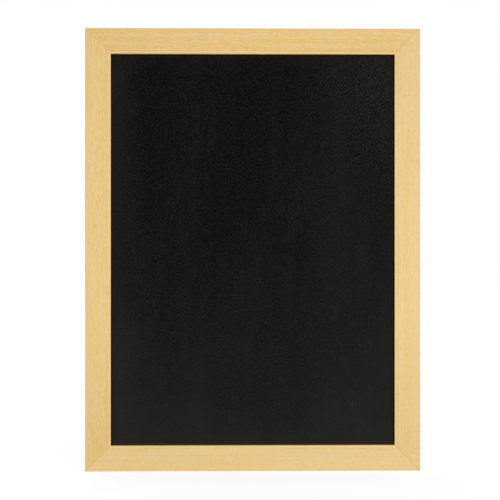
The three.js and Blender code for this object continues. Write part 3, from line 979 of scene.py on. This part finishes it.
def strap_line(sizes):
    """The folded strap from the side, as depth and height from the eye: up the wood, round the
    eye, back through the hollow neck and down over itself. Near both ends the heights follow a
    sine, where the strap's half-round end needs more rings.
    """
    wrap = sizes.wire / 2 + sizes.ring_in_eye + sizes.sheet / 2
    neck = sizes.neck + sizes.sheet / 2
    outer = 1.5 * sizes.sheet + sizes.fold_gap
    neck_across = outer + neck
    neck_down = math.sqrt((wrap + neck) ** 2 - (neck_across - EYE.y) ** 2)
    meeting = math.degrees(math.atan2(-neck_down, neck_across - EYE.y))
    end = -sizes.screw_drop - strap_half_width() * np.sin(np.radians(np.linspace(0, 86, 14)))
    first = np.stack([np.full_like(end, sizes.sheet / 2), end[::-1]], axis=1)
    last = np.stack([np.full_like(end, outer), end], axis=1)
    round_eye = arc((EYE.y, 0), wrap, 180, meeting, 40)
    round_neck = arc((neck_across, -neck_down), neck, meeting + 180, 180, 12)
    return np.concatenate([first, round_eye, round_neck, last])


def strap_half_width():
    """Half the width of a strap, by the frame."""
    return (strap_high.x - strap_low.x) / 2


def strap_skin(hand):
    """The strip carried along its folded line. Its half width is the whole one above the screw and
    the square root of half squared less the drop squared below it, which makes the round end.
    """
    sizes = chosen("hangers")
    line = strap_line(sizes)
    along = headings(line)
    below = np.clip(-line[:, 1] - sizes.screw_drop, 0, None)
    half = np.sqrt(strap_half_width() ** 2 - below ** 2)
    section = soft_sections(sizes.sheet / 2, half, sizes.strap_edge)
    sideways = -along[:, 1:] * DEEP + along[:, :1] * UP
    return swept(in_plane(line, on_hanger(hand, EYE.z), DEEP, UP), section, sideways, ACROSS)


def ring_skin(hand):
    """Round wire bent to a D: a straight bar with a butt gap in the eye, two tight corners, two
    short sides and a half-circle bow. The wire's cut ends are eased by a quarter circle. The
    ring's plane leans towards the wood by the angle whose sine is its room over its reach.
    """
    sizes = chosen("hangers")
    half = (ring_high.x - ring_low.x - sizes.wire) / 2
    bend = sizes.ring_corner + sizes.wire / 2
    bow = bend + sizes.ring_side
    turn = np.radians(np.linspace(90, 0, 6))
    tip = sizes.ring_butt / 2 + sizes.ring_cut * (1 - np.sin(turn))
    bar_end = np.stack([tip, np.zeros_like(tip)], axis=1)
    right = np.concatenate([bar_end, arc((half - bend, bend), bend, -90, 0, 14)])
    left = right[::-1] * [-1, 1]
    line = np.concatenate([right, arc((0, bow), half, 0, 180, 72), left])
    along = headings(line)
    eased = sizes.wire / 2 - sizes.ring_cut * (1 - np.cos(turn))
    between = np.full(len(line) - 2 * len(tip), sizes.wire / 2)
    radius = np.concatenate([eased, between, eased[::-1]])
    section = radius[:, None, None] * arc((0, 0), 1, 0, 360, 24)[None, :-1]
    lean = math.asin((EYE.y - sizes.wire / 2 - sizes.ring_rest) / (bow + half))
    ring_up = UP * math.cos(lean) - DEEP * math.sin(lean)
    eye = on_hanger(hand, EYE.z, EYE.y)
    sideways = -along[:, 1:] * ACROSS + along[:, :1] * ring_up
    return swept(in_plane(line, eye, ACROSS, ring_up), section, sideways, np.cross(ACROSS, ring_up))


def screw_skin(hand):
    """A pan head wood screw as rings about its axis, from the point to the middle of the crown.
    On the shank the radius is the root plus the thread's depth times a ridge, 1 - |sin| to a low
    power, of the height in pitches less the share of a turn. The crown is part of an ellipse, and
    the cross recess is cut into it where a point lies in either wing.
    """
    sizes = chosen("fastening")
    angle = np.linspace(0, math.tau, 144, endpoint=False)
    seat = screw_high.y - sizes.head_height
    tip = screw_low.y - seat
    head = (screw_high.x - screw_low.x) / 2
    height = np.linspace(tip, 0, 150)[:, None]
    taper = np.clip((height - tip) / sizes.screw_point, 0.01, 1) ** 0.8
    phase = height / sizes.thread_pitch - angle / math.tau
    ridge = (1 - np.abs(np.sin(math.pi * phase))) ** 2.5
    fade = np.clip(-height / MM, 0, 1)
    root = sizes.shank / 2 - sizes.thread_depth * fade
    shank = taper * (root + sizes.thread_depth * fade * ridge)
    turn = np.radians(np.linspace(0, 90, 4))
    rim = head - sizes.head_edge * (1 - np.sin(turn))
    under_radius = np.concatenate([[sizes.shank / 2 + sizes.shank_fillet], rim])
    under_height = np.concatenate([[0], sizes.head_edge * (1 - np.cos(turn))])
    climb = np.radians(np.linspace(0, 89.7, 84))
    crown_radius = head * np.cos(climb)
    crown_height = sizes.head_rim + (sizes.head_height - sizes.head_rim) * np.sin(climb)
    radius = np.concatenate([under_radius, crown_radius])[:, None] * np.ones_like(angle)
    level = np.concatenate([under_height, crown_height])[:, None] * np.ones_like(angle)
    across, up = radius * np.sin(angle), radius * np.cos(angle)
    cut = np.maximum(recess_depth(across, up, sizes), recess_depth(up, across, sizes))
    level = np.where(level > sizes.head_rim, np.minimum(level, sizes.head_height - cut), level)
    across = np.concatenate([shank * np.sin(angle), across])[..., None]
    up = np.concatenate([shank * np.cos(angle), up])[..., None]
    deep = np.concatenate([height + np.zeros_like(angle), level])[..., None]
    return skin(on_hanger(hand, screw_height(), seat) + across * ACROSS + up * UP + deep * DEEP)


def recess_depth(along, beside, sizes):
    """Depth of one wing of the cross, below the top of the crown: nothing at the mouth's width,
    the whole depth within the floor's width, straight between, and steep walls to both sides.
    """
    mouth, floor = sizes.recess_span / 2, sizes.recess_floor / 2
    depth = sizes.recess_depth * np.clip((mouth - np.abs(along)) / (mouth - floor), 0, 1)
    draft = sizes.recess_draft
    return depth * np.clip((sizes.recess_wing / 2 + draft / 2 - np.abs(beside)) / draft, 0, 1)


# Operators

class CHALKBOARD_OT_frame_members(bpy.types.Operator):
    """Builds the four mitred members of the frame, with the slits of what is driven into them."""

    bl_idname = "chalkboard.frame_members"
    bl_label = "Frame members"

    def execute(self, context):
        sizes = chosen("fastening")
        slit = sizes.slit
        pilot = (sizes.shank / 2 + slit, 40, (screw_low.y - slit, PAST_FACE))
        corners = list(CORNERS)
        for place, (side, facts) in enumerate(SIDES.items()):
            finishes = [beech(cut, side) for cut in CUTS]
            node = facts["node"]
            piece = make_piece(
                node + "_wood", member_skin(side), finishes, "frame", node)
            ends = (corners[place], corners[(place + 1) % len(corners)])
            cutters = [tab_skin(side, number, slit) for number, _ in nodes_of("panel_tab_" + side)]
            for corner in ends:
                nails = nodes_of("v_nail_" + corner)
                cutters += [nail_skin(corner, number, slit) for number, _ in nails]
            if side in HANDS:
                cutters.append(hole_skin(side, *pilot))
            carve(piece, cutters)
            piece.data.polygons.foreach_set("material_index", cut_faces(piece, side))
        return {"FINISHED"}


class CHALKBOARD_OT_writing_panel(bpy.types.Operator):
    """Builds the coated hardboard sheet."""

    bl_idname = "chalkboard.writing_panel"
    bl_label = "Writing panel"

    def execute(self, context):
        slab = board_slab(panel_low, panel_high, chosen("panel").edge)
        finishes = [chalk_coat(), hardboard()]
        piece = make_piece("writing_board", slab, finishes, "frame", "writing_panel")
        centre = np.empty(len(piece.data.polygons) * 3)
        piece.data.polygons.foreach_get("center", centre)
        coat_end = PANEL_FRONT + 0.6 * chosen("panel").edge
        coated = centre.reshape(-1, 3)[:, 1] < coat_end
        piece.data.polygons.foreach_set("material_index", (~coated).astype(np.int32))
        return {"FINISHED"}


class CHALKBOARD_OT_v_nails(bpy.types.Operator):
    """Builds the V-nails that hold each mitre."""

    bl_idname = "chalkboard.v_nails"
    bl_label = "V-nails"

    def execute(self, context):
        finish = plated_steel("bright_spring_strip")
        for corner in CORNERS:
            for number, node in nodes_of("v_nail_" + corner):
                name = f"corner_nail_{corner}_{number}"
                make_piece(name, nail_skin(corner, number), [finish], "frame", node)
        return {"FINISHED"}


class CHALKBOARD_OT_panel_tabs(bpy.types.Operator):
    """Builds the tabs that hold the panel in its rebate."""

    bl_idname = "chalkboard.panel_tabs"
    bl_label = "Panel tabs"

    def execute(self, context):
        finish = galvanised_steel()
        for side in SIDES:
            for number, node in nodes_of("panel_tab_" + side):
                name = f"retaining_tab_{side}_{number}"
                make_piece(name, tab_skin(side, number), [finish], "frame", node)
        return {"FINISHED"}


class CHALKBOARD_OT_hanger_straps(bpy.types.Operator):
    """Builds the two folded straps."""

    bl_idname = "chalkboard.hanger_straps"
    bl_label = "Hanger straps"

    def execute(self, context):
        finish = plated_steel("zinc_plated_strip")
        sizes = chosen("hangers")
        radius = chosen("fastening").shank / 2 + sizes.screw_room
        depths = (-PAST_FACE, 2 * sizes.sheet + sizes.fold_gap + PAST_FACE)
        for hand in HANDS:
            node = hand + "_hanger_strap"
            folded = strap_skin(hand)
            piece = make_piece(node + "_folded", folded, [finish], "frame", node)
            carve(piece, [hole_skin(hand, radius, 48, depths)])
        return {"FINISHED"}


class CHALKBOARD_OT_hanger_screws(bpy.types.Operator):
    """Builds the two pan head screws."""

    bl_idname = "chalkboard.hanger_screws"
    bl_label = "Hanger screws"

    def execute(self, context):
        finish = plated_steel("zinc_plated_screw")
        for hand in HANDS:
            node = hand + "_hanger_screw"
            make_piece(node + "_turned", screw_skin(hand), [finish], "frame", node)
        return {"FINISHED"}


class CHALKBOARD_OT_d_rings(bpy.types.Operator):
    """Builds the two D-rings."""

    bl_idname = "chalkboard.d_rings"
    bl_label = "D-rings"

    def execute(self, context):
        finish = plated_steel("nickel_plated_wire")
        for hand in HANDS:
            node = hand + "_d_ring"
            make_piece(node + "_wire", ring_skin(hand), [finish], hand + "_ring", node)
        return {"FINISHED"}


class CHALKBOARD_OT_stage(bpy.types.Operator):
    """Sets up the camera, the floor, the lamps and the room's light."""

    bl_idname = "chalkboard.stage"
    bl_label = "Stage"

    def execute(self, context):
        settings = chosen("stage")
        context.scene.view_settings.view_transform = "Standard"
        place_camera(settings)
        lay_floor()
        light_room(settings.room_light)
        for name, (place, width, height, power) in LAMPS.items():
            hang_lamp(name, place, width, height, getattr(settings, power))
        return {"FINISHED"}


def look(thing, direction):
    """Turns a camera or a lamp to look along a direction, with its own Y upright."""
    thing.rotation_mode = "QUATERNION"
    thing.rotation_quaternion = direction.to_track_quat("-Z", "Y")


def place_camera(settings):
    """The camera stands off the board's front, turned to its left, and sees the frame span there."""
    data = bpy.data.cameras.new("camera")
    camera = put("camera", data)
    bpy.context.scene.camera = camera
    data.sensor_width = 36
    data.lens = data.sensor_width * settings.camera_distance / settings.frame_span
    aim = Vector((settings.aim_across, -FRAME_DEPTH, settings.aim_up))
    away = Vector((-math.sin(settings.camera_turn), -math.cos(settings.camera_turn), 0))
    camera.location = aim + away * settings.camera_distance
    look(camera, -away)


def show_white(tree, lit, white, output):
    """Ends the floor's or the room's tree: white for rays from the camera and for those off or
    through a glossy surface, and lit for all others.
    """
    rays = add(tree, "LightPath", {})
    seen = rays["Is Camera Ray"]
    for ray in ("Is Glossy Ray", "Is Transmission Ray"):
        seen = add(tree, "Math", {"operation": "MAXIMUM", 0: seen, 1: rays[ray]})["Value"]
    mixed = add(tree, "MixShader", {0: seen, 1: lit[0], 2: white[0]})
    add(tree, output, {"Surface": mixed[0]})


def lay_floor():
    """A wide pale floor under the board. It shows white, and a little greyer in the board's soft
    shadow: what is seen adds a glow, which rises where the lamps no longer reach, to the light that
    falls there.
    """
    mesh = bpy.data.meshes.new("floor")
    corners = [(x * FLOOR_REACH, y * FLOOR_REACH, -HALF_HEIGHT) for x, y in CORNER_SIGNS]
    mesh.from_pydata(corners, [], [(0, 1, 2, 3)])
    put("floor", mesh)
    material, tree, place = new_finish("pale_floor")
    away = add(tree, "VectorMath", {"operation": "LENGTH", 0: place})["Value"]
    glow = summed(tree, 0.775, (away, 0.075, 0.8, 3.0))
    white = add(tree, "Emission", {"Color": (1, 1, 1, 1), "Strength": glow})
    shaded = add(tree, "BsdfDiffuse", {"Color": (0.34, 0.34, 0.34, 1)})
    seen = add(tree, "AddShader", {0: white[0], 1: shaded[0]})
    matt = add(tree, "BsdfDiffuse", {"Color": linear("f2f2f2")})
    show_white(tree, matt, seen, "OutputMaterial")
    mesh.materials.append(material)


def light_room(level):
    """The room is white where it is seen or mirrored, and gives an even light elsewhere."""
    world = bpy.data.worlds.new("room")
    bpy.context.scene.world = world
    world.use_nodes = True
    tree = world.node_tree
    tree.nodes.clear()
    even, white = (
        add(tree, "Background", {"Color": (1, 1, 1, 1), "Strength": strength})
        for strength in (level, 1.0))
    show_white(tree, even, white, "OutputWorld")


def hang_lamp(name, place, width, height, power):
    """A soft rectangular lamp that faces the middle of the board."""
    data = bpy.data.lights.new(name, "AREA")
    data.shape = "RECTANGLE"
    data.size = width
    data.size_y = height
    data.energy = power
    lamp = put(name, data)
    lamp.location = place
    look(lamp, -Vector(place))


class CHALKBOARD_PT_sidebar(bpy.types.Panel):
    """Lists the board's sizes and colours, and the steps that build it."""

    bl_label = "Framed chalkboard"
    bl_idname = "CHALKBOARD_PT_sidebar"
    bl_space_type = "VIEW_3D"
    bl_region_type = "UI"
    bl_category = "Chalkboard"

    def draw(self, context):
        for operator in STEPS:
            self.layout.operator(operator.bl_idname)
        for name, group in GROUPS.items():
            box = self.layout.box()
            settings = getattr(context.scene, name)
            for key in group.__annotations__:
                box.prop(settings, key)


GROUPS = {
    "chalkboard_moulding": MouldingSizes,
    "chalkboard_panel": PanelSizes,
    "chalkboard_fastening": FasteningSizes,
    "chalkboard_hangers": HangerSizes,
    "chalkboard_finishes": FinishColours,
    "chalkboard_stage": StageSettings,
}
STEPS = (
    CHALKBOARD_OT_frame_members,
    CHALKBOARD_OT_writing_panel,
    CHALKBOARD_OT_v_nails,
    CHALKBOARD_OT_panel_tabs,
    CHALKBOARD_OT_hanger_straps,
    CHALKBOARD_OT_hanger_screws,
    CHALKBOARD_OT_d_rings,
    CHALKBOARD_OT_stage,
)


def register():
    """Adds the steps, the sidebar and the groups of settings."""
    for part in (*GROUPS.values(), *STEPS, CHALKBOARD_PT_sidebar):
        bpy.utils.register_class(part)
    for name, group in GROUPS.items():
        setattr(bpy.types.Scene, name, bpy.props.PointerProperty(type=group))


def unregister():
    """Takes them out again, the last one first."""
    for name in GROUPS:
        delattr(bpy.types.Scene, name)
    for part in reversed((*GROUPS.values(), *STEPS, CHALKBOARD_PT_sidebar)):
        bpy.utils.unregister_class(part)


def main():
    """Builds every piece and the stage."""
    register()
    bpy.ops.chalkboard.frame_members()
    bpy.ops.chalkboard.writing_panel()
    bpy.ops.chalkboard.v_nails()
    bpy.ops.chalkboard.panel_tabs()
    bpy.ops.chalkboard.hanger_straps()
    bpy.ops.chalkboard.hanger_screws()
    bpy.ops.chalkboard.d_rings()
    bpy.ops.chalkboard.stage()


if __name__ == "__main__":
    main()
